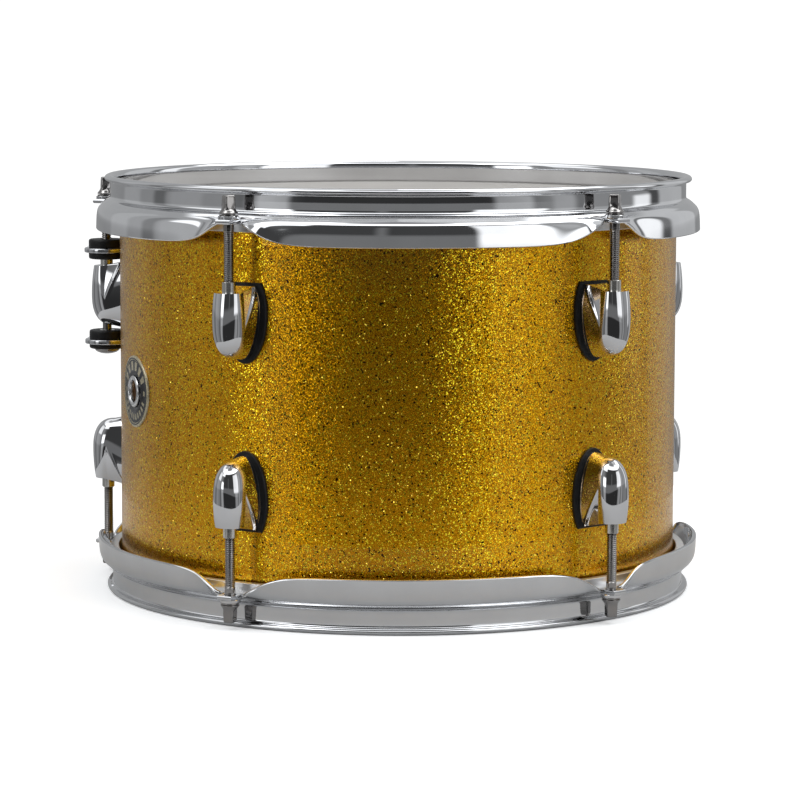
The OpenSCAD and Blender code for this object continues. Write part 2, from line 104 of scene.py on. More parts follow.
def solid_mesh(name, verts, faces):
    """A mesh from millimetre points, with doubled points merged and its faces turned outwards."""
    mesh = bpy.data.meshes.new(name)
    mesh.from_pydata([[c * MM for c in v] for v in verts], [], faces)
    bm = bmesh.new()
    bm.from_mesh(mesh)
    bmesh.ops.remove_doubles(bm, verts=bm.verts, dist=1e-7)
    bmesh.ops.dissolve_degenerate(bm, edges=bm.edges, dist=1e-8)
    bmesh.ops.recalc_face_normals(bm, faces=bm.faces)
    bm.to_mesh(mesh)
    bm.free()
    return mesh


def add_object(name, data):
    obj = bpy.data.objects.new(name, data)
    bpy.context.scene.collection.objects.link(obj)
    return obj


def round_edges(obj, width, segments, sharp=SHARP):
    """Rounds an object's sharp edges by a small width in millimetres."""
    bevel = obj.modifiers.new("bevel", "BEVEL")
    bevel.width = width * MM
    bevel.segments = segments
    bevel.limit_method = "ANGLE"
    bevel.angle_limit = math.radians(sharp)


def piece(name, part, finish, body, node, sharp=SHARP, bevel=0, origin=None):
    """A mesh from (verts, faces) that stands for a CAD node and rides on its body, smooth but for its
    sharp edges. Its finish names both its material and the record's slot."""
    mesh = solid_mesh(name, *part)
    mesh.shade_smooth()
    if not bevel:
        mesh.set_sharp_from_angle(angle=math.radians(sharp))
    mesh.materials.append(MATERIALS[finish])
    obj = add_object(name, mesh)
    if origin is not None:
        obj.matrix_world = origin
    if bevel:
        round_edges(obj, bevel, 2, sharp)
        obj.modifiers.new("normals", "WEIGHTED_NORMAL").keep_sharp = True
    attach(obj, body)
    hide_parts(node)
    return obj


def lathe(profile, steps):
    """A closed profile of (radius, z) turned round the vertical axis, as (verts, faces)."""
    verts = []
    for i in range(steps):
        a = 2 * math.pi * i / steps
        verts += [(r * math.cos(a), r * math.sin(a), z) for r, z in profile]
    return verts, grid_faces(steps, len(profile), True, True)


def mirrored(rows):
    """A closed mesh from its right half's rows of (across, radius, height). The first row and first
    column are joined straight across to the left half; the last ones lie in the middle."""
    cols = len(rows[0])
    verts = [p for row in rows for p in row]
    n = len(verts)
    faces = grid_faces(len(rows), cols, False, False) + grid_faces(len(rows), cols, False, False, n)
    faces += [(j, j + 1, n + j + 1, n + j) for j in range(cols - 1)]
    for a in range(0, n - cols, cols):
        faces.append((a, a + cols, n + a + cols, n + a))
    return verts + [(-x, r, z) for x, r, z in verts], faces


def joined(parts):
    """Several (verts, faces) as one."""
    verts, faces = [], []
    for v, f in parts:
        n = len(verts)
        verts += v
        faces += [tuple(k + n for k in face) for face in f]
    return verts, faces


def plug(start, axis, radius, length, steps=48):
    """A closed cylinder along a unit axis from a point, for cutting holes."""
    start, axis = Vector(start), Vector(axis)
    u = axis.orthogonal().normalized()
    v = axis.cross(u)
    turns = [2 * math.pi * k / steps for k in range(steps)]
    ring = [(u * math.cos(a) + v * math.sin(a)) * radius for a in turns]
    verts = [tuple(start + p) for p in ring] + [tuple(start + axis * length + p) for p in ring]
    faces = grid_faces(2, steps, False, True)
    faces += [tuple(range(steps)), tuple(range(2 * steps - 1, steps - 1, -1))]
    return verts, faces


def cut(obj, plugs):
    """Cuts closed meshes, given as (verts, faces) in millimetres, out of an object."""
    tool = add_object("cutter", solid_mesh("cutter", *joined(plugs)))
    boolean = obj.modifiers.new("holes", "BOOLEAN")
    boolean.operation = "DIFFERENCE"
    boolean.object = tool
    boolean.solver = "MANIFOLD"
    bpy.context.view_layer.update()
    graph = bpy.context.evaluated_depsgraph_get()
    result = bpy.data.meshes.new_from_object(obj.evaluated_get(graph))
    obj.modifiers.remove(boolean)
    obj.data = result
    result.set_sharp_from_angle(angle=math.radians(SHARP))
    bpy.data.objects.remove(tool)


# ---------------------------------------------------------------- materials


class Nodes:
    """A short way to write a node tree."""

    def __init__(self, name, world=False):
        if world:
            made, kinds = bpy.data.worlds, ("ShaderNodeBackground", "ShaderNodeOutputWorld")
        else:
            made, kinds = bpy.data.materials, ("ShaderNodeBsdfPrincipled", "ShaderNodeOutputMaterial")
        self.data = made.new(name)
        self.data.use_nodes = True
        self.tree = self.data.node_tree
        self.tree.nodes.clear()
        self.shader = self.add(kinds[0])
        self.out = self.add(kinds[1])
        self.link(self.shader.outputs[0], self.out.inputs[0])
        self.coords = self.add("ShaderNodeTexCoord").outputs["Generated" if world else "Object"]

    def add(self, kind, **values):
        node = self.tree.nodes.new(kind)
        for key, value in values.items():
            setattr(node, key, value)
        return node

    def link(self, a, b):
        self.tree.links.new(a, b)

    def feed(self, socket, value):
        """Gives a socket a value of its own, or a link from another socket."""
        if isinstance(value, bpy.types.NodeSocket):
            self.link(value, socket)
        else:
            socket.default_value = value

    def set(self, **values):
        for key, value in values.items():
            self.feed(self.shader.inputs[key.replace("_", " ")], value)

    def math(self, op, *values):
        node = self.add("ShaderNodeMath", operation=op)
        for socket, value in zip(node.inputs, values):
            self.feed(socket, value)
        return node.outputs[0]

    def vector(self, op, a, b=None, scale=None):
        node = self.add("ShaderNodeVectorMath", operation=op)
        self.feed(node.inputs[0], a)
        if b is not None:
            self.feed(node.inputs[1], b)
        if scale is not None:
            self.feed(node.inputs["Scale"], scale)
        return node.outputs["Value"] if op == "LENGTH" else node.outputs[0]

    def xyz(self, vector):
        node = self.add("ShaderNodeSeparateXYZ")
        self.link(vector, node.inputs[0])
        return node.outputs

    def radius(self):
        """Distance from the object's own z axis."""
        return self.vector("LENGTH", self.vector("MULTIPLY", self.coords, (1, 1, 0)))

    def noise(self, scale, detail, rough=0.5, stretch=None, output="Fac"):
        node = self.add("ShaderNodeTexNoise")
        for name, value in (("Scale", scale), ("Detail", detail), ("Roughness", rough)):
            node.inputs[name].default_value = value
        source = self.vector("MULTIPLY", self.coords, stretch) if stretch else self.coords
        self.link(source, node.inputs["Vector"])
        return node.outputs[output]

    def cells(self, scale, coords):
        """Voronoi cells, each of one random colour."""
        node = self.add("ShaderNodeTexVoronoi")
        node.inputs["Scale"].default_value = scale
        self.link(coords, node.inputs["Vector"])
        return node.outputs["Color"]

    def remap(self, value, lo, hi, to_lo=0, to_hi=1, smooth=False):
        node = self.add("ShaderNodeMapRange", interpolation_type="SMOOTHSTEP" if smooth else "LINEAR")
        self.link(value, node.inputs[0])
        for k, v in enumerate((lo, hi, to_lo, to_hi)):
            node.inputs[k + 1].default_value = v
        return node.outputs[0]

    def ramp(self, value, stops):
        node = self.add("ShaderNodeValToRGB")
        elements = node.color_ramp.elements
        while len(elements) < len(stops):
            elements.new(0.5)
        for element, (position, colour) in zip(elements, stops):
            element.position = position
            element.color = (*colour, 1)
        self.link(value, node.inputs[0])
        return node.outputs[0]

    def mix(self, fac, a, b):
        """A mix of two colours, each a socket or three numbers."""
        node = self.add("ShaderNodeMix", data_type="RGBA")
        self.link(fac, node.inputs[0])
        for socket, value in ((node.inputs[6], a), (node.inputs[7], b)):
            self.feed(socket, (*value, 1) if isinstance(value, tuple) else value)
        return node.outputs[2]

    def bump(self, height, strength, distance):
        node = self.add("ShaderNodeBump")
        node.inputs["Strength"].default_value = strength
        node.inputs["Distance"].default_value = distance
        self.link(height, node.inputs["Height"])
        return node.outputs[0]


def metal(name, colour, rough, wear, wave, grain=0.0, grain_scale=None):
    """Plated metal: soft unevenness, faint handling marks and a little dust in its tone. Drawn metal
    has a grain of fine lines as well."""
    n = Nodes(name)
    cloud = n.noise(60, 4)
    marks = n.noise(900, 2, 0.6)
    rub = n.math("MULTIPLY", n.math("SUBTRACT", cloud, 0.45), wear)
    fine = n.math("MULTIPLY", marks, wear * 0.5)
    dulled = n.math("ADD", n.math("ADD", rub, fine), rough)
    tone = n.remap(cloud, 0.3, 0.7, 0.96, 1.03)
    height = n.noise(25, 2)
    if grain:
        lines = n.noise(1.0, 3, 0.7, grain_scale)
        height = n.math("ADD", height, n.math("MULTIPLY", lines, grain))
    n.set(Base_Color=n.vector("SCALE", colour, scale=tone), Metallic=1.0)
    n.set(Roughness=n.math("MAXIMUM", dulled, 0.01), Normal=n.bump(height, 0.25, wave))
    return n.data


# Cells of the gold flakes, to a metre
BED_CELLS = 2600
LARGE_CELLS = 2100
FLECK_CELLS = 1200
BED_GOLD = [(0.0, (0.51, 0.186, 0.002)), (0.5, (0.73, 0.305, 0.003)), (1.0, (0.96, 0.535, 0.006))]
# Painted dark reflection: near-black flecks that stand for flakes mirroring dark surroundings
PAINTED_DARK_REFLECTION_GOLD = (0.035, 0.013, 0.001)
FLASH_GOLD = (0.95, 0.765, 0.035)
GLINT_GOLD = (0.75, 0.55, 0.07)


def sparkle():
    """Gold flake film under clear gloss: an even bed of small flakes, larger ones that lie flatter
    and flash, a few of those tipped far over, and near-black flecks that are painted dark reflections."""
    n = Nodes("gold_sparkle")
    nudge = n.vector("SCALE", n.noise(900, 2, output="Color"), scale=0.0003)
    ragged = n.vector("ADD", n.coords, nudge)
    bed = n.cells(BED_CELLS, n.coords)
    large = n.cells(LARGE_CELLS, ragged)
    flecks = n.cells(FLECK_CELLS, ragged)
    # A cell is one of these kinds where one of its random numbers is this high
    flash = n.remap(n.xyz(large)[0], 0.84, 0.87)
    glint = n.remap(n.xyz(large)[2], 0.988, 0.991)
    # Painted dark reflection: a share of cells made near-black, for flakes that mirror dark
    # surroundings
    painted_dark_flecks = n.remap(n.xyz(flecks)[0], 0.94, 0.95)

    def tilt(cells, amount):
        return n.vector("SCALE", n.vector("SUBTRACT", cells, (0.5, 0.5, 0.5)), scale=amount)

    ruffle = n.math("MULTIPLY_ADD", flash, -0.24, 0.27)
    lean = n.math("MULTIPLY_ADD", glint, 0.95, n.math("MULTIPLY_ADD", flash, 0.12, 0.14))
    tilts = n.vector("ADD", tilt(bed, ruffle), tilt(large, lean))
    normal = n.add("ShaderNodeNewGeometry").outputs["Normal"]
    colour = n.ramp(n.xyz(bed)[2], BED_GOLD)
    for share, gold in ((painted_dark_flecks, PAINTED_DARK_REFLECTION_GOLD), (flash, FLASH_GOLD), (glint, GLINT_GOLD)):
        colour = n.mix(share, colour, gold)
    n.set(Base_Color=colour, Metallic=0.95, Roughness=n.remap(flash, 0, 1, 0.26, 0.10))
    n.set(Normal=n.vector("NORMALIZE", n.vector("ADD", normal, tilts)))
    n.set(Coat_Weight=0.25, Coat_Roughness=0.03, Coat_IOR=1.45)
    return n.data


def film():
    """Coated head: warm grey-white with a fine sprayed grain."""
    n = Nodes("coated_film")
    spray = n.noise(1800, 3, 0.7)
    cloud = n.remap(n.noise(14, 4), 0.35, 0.65)
    n.set(Base_Color=n.mix(cloud, (0.37, 0.352, 0.33), (0.415, 0.395, 0.37)))
    n.set(Roughness=n.remap(spray, 0.3, 0.7, 0.5, 0.68), Normal=n.bump(spray, 0.4, 0.00012))
    return n.data


def rubber():
    """Black rubber with a fine moulded grain."""
    n = Nodes("black_rubber")
    grain = n.noise(2200, 3, 0.6)
    cloud = n.noise(120, 3)
    n.set(Base_Color=n.mix(cloud, (0.004, 0.004, 0.0042), (0.008, 0.008, 0.008)))
    n.set(Roughness=n.remap(grain, 0.3, 0.7, 0.37, 0.55), Normal=n.bump(grain, 0.25, 0.00006))
    n.set(Specular_IOR_Level=0.3)
    return n.data


PLY_PITCH = 0.0011


def wood():
    """Maple plies: long figure along the rim and thin bands through the thickness."""
    n = Nodes("maple_ply")
    figure = n.noise(1.0, 5, 0.65, stretch=(30, 30, 420))
    ply = n.math("SINE", n.math("MULTIPLY", n.radius(), 2 * math.pi / PLY_PITCH))
    colour = n.ramp(figure, [
        (0.3, (0.36, 0.19, 0.085)), (0.5, (0.52, 0.31, 0.15)), (0.72, (0.63, 0.41, 0.22)),
    ])
    n.set(Base_Color=n.mix(n.remap(ply, -1, 1, 0.0, 0.22), colour, (0.28, 0.14, 0.06)))
    n.set(Roughness=n.remap(figure, 0.3, 0.7, 0.3, 0.42), Normal=n.bump(figure, 0.15, 0.0001))
    return n.data


def enamel():
    """Badge: black ground between pale rings, with a generic ring of dashes and dots."""
    n = Nodes("badge_enamel")
    x, y, _ = n.xyz(n.coords)
    radius = n.radius()
    angle = n.math("ARCTAN2", y, x)

    def above(value, limit):
        return n.math("GREATER_THAN", value, limit)

    def below(value, limit):
        return n.math("LESS_THAN", value, limit)

    def both(a, b):
        return n.math("MULTIPLY", a, b)

    def either(a, b):
        return n.math("MAXIMUM", a, b)

    def band(lo, hi):
        """1 between two radii in millimetres."""
        return both(above(radius, lo * MM), below(radius, hi * MM))

    def wave(turns):
        return n.math("SINE", n.math("MULTIPLY", angle, turns))

    upper = above(y, 0.0)
    lower = n.math("SUBTRACT", 1.0, upper)
    broad = both(both(above(wave(15), -0.1), upper), band(11.4, 16.2))
    fine = both(both(above(wave(26), 0.1), lower), band(12.2, 15.4))
    # 0 at the two sides of the badge, where the dots stand in a gap between the dashes
    off_side = n.math("ABSOLUTE", n.math("SINE", angle))
    dashes = both(either(broad, fine), above(off_side, 0.34))
    dots = both(below(off_side, 0.09), band(13.2, 15.0))
    rings = either(band(18.1, 30), band(17.0, 17.35))
    pale = either(either(dashes, dots), rings)
    wear = n.noise(500, 3)
    cream = n.mix(wear, (0.42, 0.37, 0.24), (0.54, 0.49, 0.35))
    black = n.mix(wear, (0.006, 0.006, 0.007), (0.016, 0.016, 0.018))
    n.set(Base_Color=n.mix(pale, black, cream), Metallic=n.math("MULTIPLY", pale, 0.5))
    n.set(Roughness=n.remap(wear, 0.3, 0.7, 0.2, 0.34), Normal=n.bump(pale, 0.4, 0.0001))
    n.set(Coat_Weight=0.12, Coat_Roughness=0.15)
    return n.data


def nylon():
    """Off-white nylon with a faint mottle."""
    n = Nodes("nylon")
    grain = n.noise(700, 3)
    n.set(Base_Color=n.mix(grain, (0.66, 0.65, 0.60), (0.76, 0.75, 0.71)))
    n.set(Roughness=n.remap(grain, 0.3, 0.7, 0.4, 0.55), Normal=n.bump(grain, 0.2, 0.00005))
    return n.data


# Colour, roughness, wear, the waves' height in metres, and a drawn metal's grain and its scale
METALS = {
    # The two hoops are one chrome: the batter hoop's is painted lighter and the resonant hoop's darker,
    # as painted light and shade
    "batter_hoop_chrome": ((0.76, 0.765, 0.78), 0.04, 0.03, 0.00004),
    "resonant_hoop_chrome": ((0.62, 0.625, 0.635), 0.045, 0.03, 0.00004),
    "lug_chrome": ((0.62, 0.62, 0.63), 0.03, 0.02, 0.00002),
    # Painted shade: the rods' and dome screws' chrome is painted much darker than the hoops' and lugs'
    # chrome
    "rod_chrome": ((0.31, 0.298, 0.29), 0.09, 0.06, 0.00002),
    "plate_chrome": ((0.60, 0.605, 0.62), 0.06, 0.04, 0.00005),
    "clamp_chrome": ((0.60, 0.60, 0.615), 0.08, 0.06, 0.00012),
    "plated_steel": ((0.60, 0.60, 0.60), 0.2, 0.1, 0.00004),
    "flesh_hoop": ((0.80, 0.80, 0.80), 0.34, 0.1, 0.00004, 0.6, (40, 40, 1400)),
    "brass_nut": ((0.60, 0.585, 0.55), 0.12, 0.06, 0.00003),
}
MATERIALS = {name: metal(name, *values) for name, values in METALS.items()}
MATERIALS.update({
    "gold_sparkle": sparkle(),
    "coated_film": film(),
    "black_rubber": rubber(),
    "maple_ply": wood(),
    "badge_enamel": enamel(),
    "nylon": nylon(),
})

# ---------------------------------------------------------------- hoops

HOOP_STEPS = 900
HOOP_T = 2.3
HOLE_R = 3.2
# The rolled lip on top, and the wall from under it to the knee above the skirt
LIP = [(155.8, 109.4), (155.8, 111.2), (155.92, 112.1), (156.35, 112.95), (157.05, 113.55),
       (157.9, 113.82), (158.8, 113.85), (159.7, 113.75), (160.5, 113.35), (161.02, 112.75),
       (161.2, 112.1), (161.05, 111.5), (160.6, 111.0), (159.9, 110.75), (159.1, 110.6),
       (158.5, 110.35), (158.2, 109.95)]
WALL = [(158.1, 109.4), (158.1, 106.0), (158.1, 104.4), (158.1, 103.5), (158.1, 102.9),
        (158.15, 102.1), (158.35, 101.5), (158.8, 101.05), (159.5, 100.65), (160.4, 100.15),
        (161.3, 99.5), (162.1, 98.8)]
# The rounding of the skirt's edge, as shares of the thickness and millimetres past it
ROUND_EDGE = ((0.12, 0.32), (0.35, 0.58), (0.65, 0.58), (0.88, 0.32))
SKIRT_STEPS = 20
SKIRT_R = 162.8
SKIRT_Z = 98.1
SKIRT_LENGTH = 13.4
# The skirt stands out by a swell that comes in within a few millimetres, and flares from there
SKIRT_SWELL = 2.75
SWELL_EASE = 2.1
SKIRT_FLARE = 0.026
EAR_Z = 97.6
EAR_LENGTH = 11.4
EAR_HALF = 4.8
# How far along the rim the bend into the ear reaches, and the rise of the skirt's edge
EAR_BEND = 9.0
BEND_POWER = 1.3
EDGE_FADE = 18.5
EDGE_EASE = 2.0


def outer_line(s):
    """The hoop's outside from below the lip to the skirt's edge, as (radius, height), at a distance
    along the rim from a rod. The skirt's edge rises in a long curve; its bend into the ear is short."""
    past = max(0.0, abs(s) - EAR_HALF)
    rise = math.hypot(past, EDGE_EASE) - EDGE_EASE
    share = math.exp(-(past / EAR_BEND) ** BEND_POWER)
    phi = math.pi / 2 * share
    drop = SKIRT_LENGTH * math.cos(math.pi / 2 * math.exp(-rise / EDGE_FADE))
    reach = drop / max(math.cos(phi), 1e-6) if past else EAR_LENGTH
    reach = min(reach, lerp(SKIRT_LENGTH, EAR_LENGTH, share))
    base_z = lerp(SKIRT_Z, EAR_Z, share)
    line = list(WALL)
    for k in range(SKIRT_STEPS + 1):
        along = reach * (k / SKIRT_STEPS) ** 1.5
        swell = SKIRT_SWELL * (1 - math.exp(-along / SWELL_EASE)) + SKIRT_FLARE * along
        swell *= 1 - share
        line.append((
            SKIRT_R + along * math.sin(phi) + swell * math.cos(phi),
            base_z - along * math.cos(phi) + swell * math.sin(phi),
        ))
    return line


def offset_line(line, distance):
    """A line of (radius, height) moved sideways."""
    out = []
    for k, (r, z) in enumerate(line):
        r0, z0 = line[max(k - 1, 0)]
        r1, z1 = line[min(k + 1, len(line) - 1)]
        length = math.hypot(r1 - r0, z1 - z0)
        out.append((r + (z1 - z0) / length * distance, z - (r1 - r0) / length * distance))
    return out


def hoop_section(s):
    outside = outer_line(s)
    inside = offset_line(outside, HOOP_T)
    (r0, z0), (r1, z1) = outside[-1], inside[-1]
    length = math.hypot(r1 - r0, z1 - z0)
    dr, dz = (z0 - z1) / length, (r1 - r0) / length
    edge = [(lerp(r0, r1, t) + dr * out, lerp(z0, z1, t) + dz * out) for t, out in ROUND_EDGE]
    return LIP + outside + edge + inside[::-1][:-1]


def hoop(end, side):
    spacing = 2 * math.pi / LUGS
    verts = []
    for k in range(HOOP_STEPS):
        a = 2 * math.pi * k / HOOP_STEPS
        turn = (a - math.radians(FIRST_LUG)) % spacing
        section = hoop_section(min(turn, spacing - turn) * ROD_R)
        verts += [(r * math.sin(a), -r * math.cos(a), MID + side * z) for r, z in section]
    part = verts, grid_faces(HOOP_STEPS, len(section), True, True)
    obj = piece(end + "_hoop_steel", part, end + "_hoop_chrome", end + "_hoop", end + "_hoop")
    cut(obj, [plug(rod_point(i, side, 90), (0, 0, side), HOLE_R, 12) for i in range(LUGS)])


# ---------------------------------------------------------------- rods

ROD_STEPS = 48
SQUARE_POWER = 9
PITCH = 1.058
THREAD_R = 2.743
ROOT_R = 2.25
THREAD_TOP = 92.0
THREAD_END = 49.6
ROWS_A_TURN = 8
WASHER_TOP = 99.32
# Rings as (radius, height), and for the square head also how square each is and its half-width
ROD_HEAD = [
    (0.01, 109.95, 1, 0.01), (1.9, 109.95, 1, 1.9), (2.4, 109.8, 1, 2.4), (2.65, 109.4, 1, 2.65),
    (2.75, 108.0, 1, 2.75), (2.82, 106.2, 1, 2.82), (2.9, 104.9, 0.95, 2.9), (3.1, 103.9, 0.7, 3.0),
    (3.45, 103.0, 0.35, 3.2), (3.9, 102.2, 0.08, 3.4), (4.35, 101.6), (4.75, 101.1), (4.9, 100.75),
    (4.8, 100.5), (3.5, 100.38), (3.5, 100.15), (4.75, 100.02), (4.85, 99.75), (4.75, 99.45),
    (4.4, WASHER_TOP), (2.9, WASHER_TOP), (THREAD_R, 99.0), (THREAD_R, THREAD_TOP + 0.6),
]
ROD_TIP = [(2.2, 49.35), (0.01, 49.32)]


def rod_ring(r, z, squareness=0, half=1):
    """Points round a rod, from a circle to a square with rounded corners."""
    ring = []
    for k in range(ROD_STEPS):
        a = 2 * math.pi * k / ROD_STEPS
        c, s = abs(math.cos(a)), abs(math.sin(a))
        square = half / (c ** SQUARE_POWER + s ** SQUARE_POWER) ** (1 / SQUARE_POWER)
        out = lerp(r, square, squareness)
        ring.append((out * math.cos(a), out * math.sin(a), z))
    return ring


def rod_mesh():
    """A rod along z in end heights: square head, bell, collar, plain neck and a turned thread."""
    rows = [rod_ring(*values) for values in ROD_HEAD]
    count = int((THREAD_TOP - THREAD_END) / PITCH * ROWS_A_TURN)
    for k in range(count + 1):
        z = THREAD_TOP - (THREAD_TOP - THREAD_END) * k / count
        fade = min(1, k / ROWS_A_TURN, (count - k) / ROWS_A_TURN)
        row = []
        for j in range(ROD_STEPS):
            a = 2 * math.pi * j / ROD_STEPS
            phase = (z / PITCH - j / ROD_STEPS) % 1
            # Sloped flanks with a narrow flat at the crest and a wider one at the root
            groove = min(1, max(0, 2.5 * abs(phase - 0.5) - 0.1))
            r = THREAD_R - (THREAD_R - ROOT_R) * groove * fade
            row.append((r * math.cos(a), r * math.sin(a), z))
        rows.append(row)
    rows += [rod_ring(*values) for values in ROD_TIP]
    return [p for row in rows for p in row], grid_faces(len(rows), ROD_STEPS, False, True)


def at_lug(part, i, side):
    """Moves a mesh of points (across, radius, height) to lug i of an end."""
    verts, faces = part
    return place(verts, lug_angle(i), side), faces


def at_rod(part, i, side, turn=0):
    """Moves a mesh made about the rod's own axis to rod i of an end."""
    verts, faces = part
    c, s = math.cos(math.radians(turn)), math.sin(math.radians(turn))
    local = [(x * c - y * s, ROD_R + x * s + y * c, z) for x, y, z in verts]
    return at_lug((local, faces), i, side)


# ---------------------------------------------------------------- lugs

LUG_BACK = 154.6
# The foot: its end nearest the hoop, its widest height and its tip, and its half-widths
BASE_END = 63.2
BASE_WIDE = 51.0
BASE_TIP = 24.6
BASE_END_W = 7.5
BASE_W = 10.2
DOME_END = 60.2
DOME_BELLY = 43.0
DOME_TIP = 26.4
DOME_W = 8.9
DOME_R = 176.8
CREASE_R = 164.5
CREASE_RISE = 4.8
# The ridge where the flank's scoop begins runs slantwise between these heights
RIDGE_END = 61.6
RIDGE_TIP = 40.5
RIDGE_SPREAD = 0.065
SCOOP_DEPTH = 0.8
SCOOP_DEEPEST = 0.72
LUG_ROWS = 54
FLANK_STEPS = 36
DOME_STEPS = 16


def shield(z, end_z, wide_z, tip_z, end_w, wide_w):
    """Half-width of a shield shape at a height."""
    if z > wide_z:
        return wide_w - (wide_w - end_w) * ((z - wide_z) / (end_z - wide_z)) ** 2
    return wide_w * max(0.0, 1 - ((wide_z - z) / (wide_z - tip_z)) ** 2.1) ** 0.5


def blunt(t):
    """A rounded end that keeps its width longer than a circle does."""
    return max(0.0, 1 - t ** 2.4) ** (1 / 2.4)


def dome_at(z, most, loss):
    """A size of the dome that is most at its belly: blunt towards the tip, a little less at the end."""
    if z < DOME_BELLY:
        return most * blunt((DOME_BELLY - z) / (DOME_BELLY - DOME_TIP))
    return most - loss * ((z - DOME_BELLY) / (DOME_END - DOME_BELLY)) ** 2


def lug_mesh():
    """One lug casing: a rounded dome on a scooped flank over a shield-shaped foot."""
    rows = []
    for i in range(LUG_ROWS + 1):
        v = math.sin(math.pi / 2 * i / LUG_ROWS)
        z_base = lerp(BASE_END, BASE_TIP, v)
        z_dome = lerp(DOME_END, DOME_TIP, v)
        w_base = shield(z_base, BASE_END, BASE_WIDE, BASE_TIP, BASE_END_W, BASE_W)
        r_foot = math.sqrt(LUG_BACK ** 2 - w_base ** 2)
        # The crease is the line where the dome meets the flank
        w_crease = dome_at(z_dome, DOME_W, 1.3)
        t = max(0.0, (z_dome - DOME_TIP) / (DOME_END - DOME_TIP))
        r_crease = CREASE_R + CREASE_RISE * math.sin(math.pi / 2 * t) ** 1.15
        row = [(w_base, r_foot, z_base), (w_base, r_foot + 0.9, z_base)]
        foot = (w_base * 0.985, r_foot + 1.2, lerp(z_base, z_dome, 0.04))
        ridge = min(1.0, max(0.0, (RIDGE_END - z_dome) / (RIDGE_END - RIDGE_TIP)))
        gap = 1 - ridge
        for k in range(FLANK_STEPS + 1):
            w = k / FLANK_STEPS
            x, r, z = (lerp(a, b, w) for a, b in zip(foot, (w_crease, r_crease, z_dome)))
            x += gap * math.exp(-((w - ridge) / RIDGE_SPREAD) ** 2)
            if w > ridge and gap > 0:
                u = (w - ridge) / gap
                depth = SCOOP_DEPTH * gap * min(u / SCOOP_DEEPEST, (1 - u) / (1 - SCOOP_DEEPEST))
                x = max(x - depth, 0.0)
            row.append((x, r, z))
        r_front = CREASE_R + dome_at(z_dome, DOME_R - CREASE_R, 1.5)
        for k in range(1, DOME_STEPS + 1):
            a = math.pi / 2 * k / DOME_STEPS
            row.append((w_crease * math.cos(a), lerp(r_crease, r_front, math.sin(a)), z_dome))
        rows.append(row)
    return mirrored(rows)


GASKET_ROWS = 46
GASKET_BACK = 153.02
GASKET_END = 64.5
GASKET_WIDE = 50
GASKET_TIP = 22.6
GASKET_END_W = 9.9
GASKET_W = 13.2
GASKET_ROUND = 0.5


def gasket_mesh():
    """The rubber shield under a lug, a little wider than its foot all round."""
    front = LUG_BACK
    rows = []
    for i in range(GASKET_ROWS + 1):
        z = lerp(GASKET_END, GASKET_TIP, math.sin(math.pi / 2 * i / GASKET_ROWS))
        w = shield(z, GASKET_END, GASKET_WIDE, GASKET_TIP, GASKET_END_W, GASKET_W)
        inwards = GASKET_ROUND if i > GASKET_ROWS / 2 else -GASKET_ROUND
        z_in = z + inwards * (1 if i in (0, GASKET_ROWS) else 0.6)
        w_in = max(w - GASKET_ROUND, 0)
        profile = ((w, GASKET_BACK, z), (w, front - GASKET_ROUND, z), (w_in, front, z_in))
        row = [(x, math.sqrt(r * r - x * x), h) for x, r, h in profile]
        rows.append(row + [(0, front, z_in)])
    return mirrored(rows)


rod_part = rod_mesh()
lug_part = lug_mesh()
gasket_part = gasket_mesh()
washer_part = lathe([
    (2.95, 97.65), (2.95, 99.15), (3.1, 99.3), (5.25, 99.3), (5.5, 99.05), (5.5, 97.85), (5.3, 97.62),
], 48)
neck_part = lathe([
    (THREAD_R + 0.06, 47.6), (THREAD_R + 0.06, 65.5), (THREAD_R + 0.3, 65.8), (3.3, 65.8), (3.5, 65.6),
    (3.5, 57.6), (5.1, 57.6), (5.1, 47.8), (4.9, 47.6),
], 32)
for end, side in ENDS:
    hoop(end, side)
    for i in range(LUGS):
        rod, lug = f"{end}_rod_{i + 1}", f"{end}_lug_{i + 1}"
        # Each rod's head stands at an angle of its own
        turned_rod = at_rod(rod_part, i, side, 12 + 31 * i + 17 * side)
        piece(rod + "_steel", turned_rod, "rod_chrome", rod, rod, sharp=50)
        casing = at_lug(lug_part, i, side)
        piece(lug + "_casing", casing, "lug_chrome", "drum", lug, sharp=33, bevel=0.45)
    washers = joined([at_rod(washer_part, i, side) for i in range(LUGS)])
    necks = joined([at_rod(neck_part, i, side) for i in range(LUGS)])
    gaskets = joined([at_lug(gasket_part, i, side) for i in range(LUGS)])
    piece(end + "_washers_steel", washers, "lug_chrome", end + "_hoop", end + "_rod_washers")
    piece(end + "_nuts", necks, "brass_nut", "drum", end + "_swivel_nuts")
    piece(end + "_gaskets", gaskets, "black_rubber", "drum", end + "_lug_gaskets")

# ---------------------------------------------------------------- shell and heads

WRAP_R = 153.0
WRAP_HALF = 98.2
WRAP_EDGE = [(152.42, -WRAP_HALF), (WRAP_R - 0.15, -WRAP_HALF), (WRAP_R, 0.2 - WRAP_HALF)]
WRAP_ROWS = 12
VENT_R = 7.2
FILM_LINE = [(0.01, 101.97), (50, 101.97), (100, 101.97), (140, 101.97), (149.4, 101.97),
             (150.5, 101.9), (151.25, 101.62), (152.2, 100.85), (154.9, 98.1), (155.35, 97.85),
             (156.75, 97.85), (156.75, 97.5), (155.1, 97.5), (154.6, 97.8), (151.9, 100.55),
             (151.0, 101.35), (150.4, 101.57), (149.4, 101.62), (140, 101.62), (100, 101.62),
             (50, 101.62), (0.01, 101.62)]


def turned(line, side, steps):
    """A closed line of (radius, height) turned round the drum's axis, at an end."""
    return lathe([(r, MID + side * z) for r, z in line], steps)


